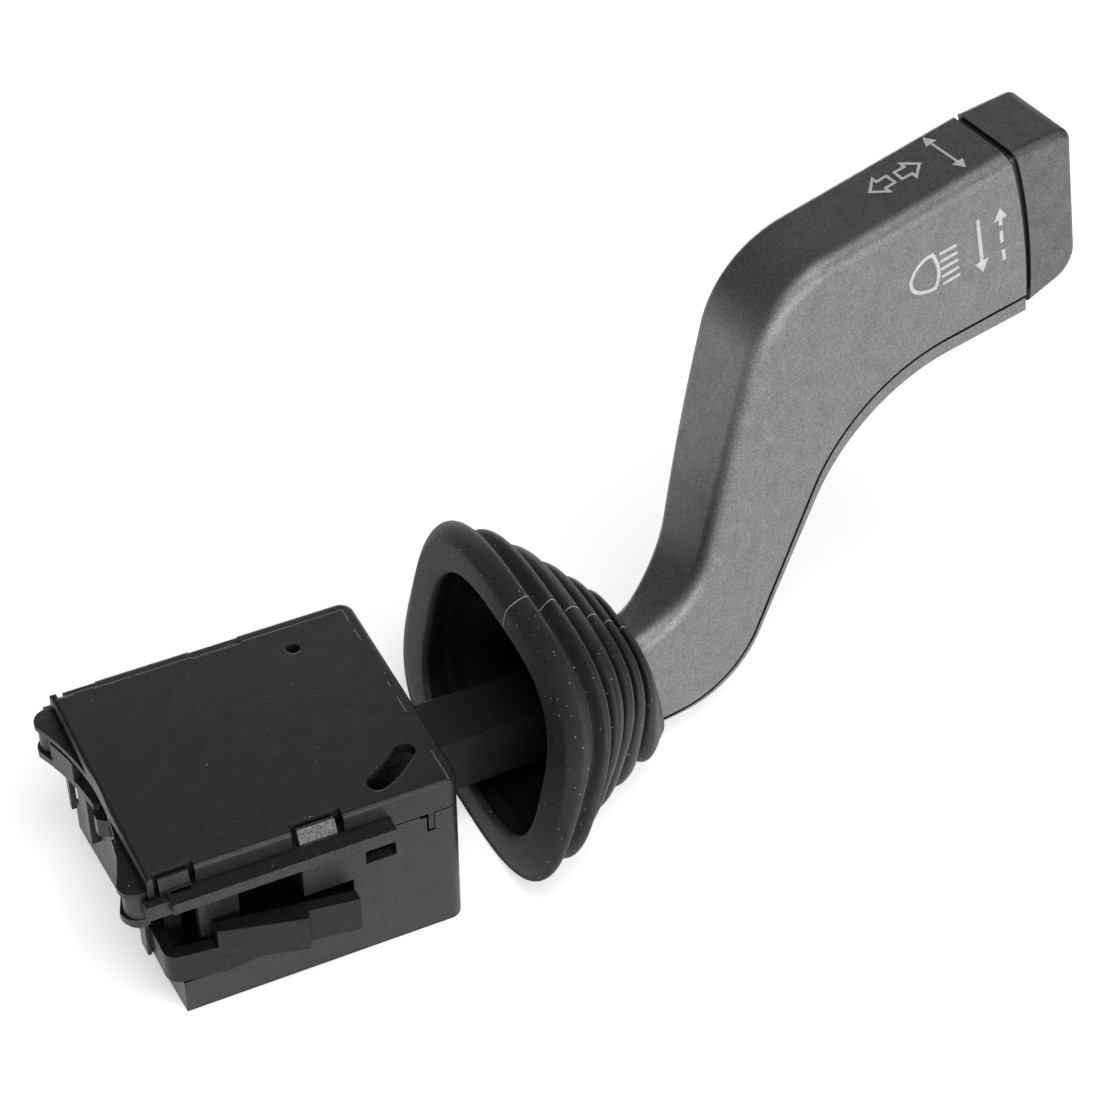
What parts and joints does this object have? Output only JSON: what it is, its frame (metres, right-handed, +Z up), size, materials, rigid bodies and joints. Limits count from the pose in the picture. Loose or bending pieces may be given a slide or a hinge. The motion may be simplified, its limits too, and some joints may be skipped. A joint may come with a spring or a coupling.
{
  "type": "column stalk switch",
  "caption": "Steering column stalk switch for turn signals and main beam: boxy housing with slide rails and latches, rubber boot and S-shaped grip.",
  "frame": {"origin": "on the flat underside of the base housing, under the axis that the stalk turns about", "axes": "+X out along the stalk, +Z up through the top cover, -Y towards the front wall of the housing"},
  "size_m": [0.1919, 0.0661, 0.1021],
  "materials": {
    "housing": "fine spark-eroded grain",
    "arm": "satin",
    "grip": "fine grain",
    "boot": "matte",
    "mechanism": "black acetal",
    "sliding": "natural acetal",
    "board": "laminate",
    "copper": "rolled strip",
    "steel": "drawn"
  },
  "bodies": {
    "housing": {"base_housing": "housing", "top_cover": "housing", "turn_detent_cam": "sliding", "contact_board": "board", "fixed_contacts": "copper", "terminal_blades": "copper", "tilt_contacts": "copper", "pawl_pin": "steel"},
    "front_clip": {"front_latch": "housing"},
    "rear_clip": {"rear_latch": "housing"},
    "carrier": {"turn_carrier": "mechanism", "tilt_pin": "steel", "turn_detent_spring": "steel"},
    "turn_nose": {"turn_detent_plunger": "steel"},
    "stalk": {"lever_arm": "arm", "handle_front_shell": "grip", "handle_rear_shell": "grip", "end_cap": "grip", "handle_pin": "steel", "rubber_boot": "boot", "tilt_detent_spring": "steel"},
    "tilt_nose": {"tilt_detent_plunger": "steel"},
    "turn_contact": {"turn_slider": "sliding", "turn_bridges": "copper"},
    "tilt_contact": {"tilt_slider": "sliding", "tilt_bridges": "copper"},
    "pawl": {"cancel_pawl": "mechanism", "pawl_spring": "steel"}
  },
  "joints": [
    {"name": "turn", "type": "hinge", "parent": "housing", "child": "carrier", "pos_m": [0, 0, 0.016], "axis": [0, 0, 1], "range_deg": [-11, 11]},
    {"name": "tilt", "type": "hinge", "parent": "carrier", "child": "stalk", "pos_m": [0, 0, 0.016], "axis": [0, -1, 0], "range_deg": [-6, 8]},
    {"name": "turn_plunger", "type": "slide", "parent": "carrier", "child": "turn_nose", "axis": [1, 0, 0], "range_m": [0, 0.0008], "stiffness_N_per_m": 300, "springref_m": -0.002, "deforming": ["turn_detent_spring"]},
    {"name": "tilt_plunger", "type": "slide", "parent": "stalk", "child": "tilt_nose", "axis": [1, 0, 0], "range_m": [0, 0.0008], "stiffness_N_per_m": 300, "springref_m": -0.002, "deforming": ["tilt_detent_spring"]},
    {"name": "turn_contact_slide", "type": "slide", "parent": "housing", "child": "turn_contact", "axis": [0, 1, 0], "range_m": [-0.0024, 0.0024]},
    {"name": "tilt_contact_slide", "type": "slide", "parent": "housing", "child": "tilt_contact", "axis": [0, 0, 1], "range_m": [-0.0029, 0.0022]},
    {"name": "cancel_pawl_swing", "type": "hinge", "parent": "housing", "child": "pawl", "pos_m": [-0.024, 0, 0.024], "axis": [0, 0, 1], "range_deg": [-15, 15], "stiffness_Nm_per_rad": 0.02},
    {"name": "front_latch_press", "type": "hinge", "parent": "housing", "child": "front_clip", "pos_m": [-0.0301, -0.015, 0.011], "axis": [0, 0, 1], "range_deg": [0, 3.5], "stiffness_Nm_per_rad": 0.5},
    {"name": "rear_latch_press", "type": "hinge", "parent": "housing", "child": "rear_clip", "pos_m": [-0.0301, 0.015, 0.011], "axis": [0, 0, -1], "range_deg": [0, 3.5], "stiffness_Nm_per_rad": 0.5}
  ],
  "couplings": [
    {"joint": "turn_contact_slide", "follows": "turn", "m_per_rad": 0.012},
    {"joint": "tilt_contact_slide", "follows": "tilt", "m_per_rad": -0.02}
  ]
}
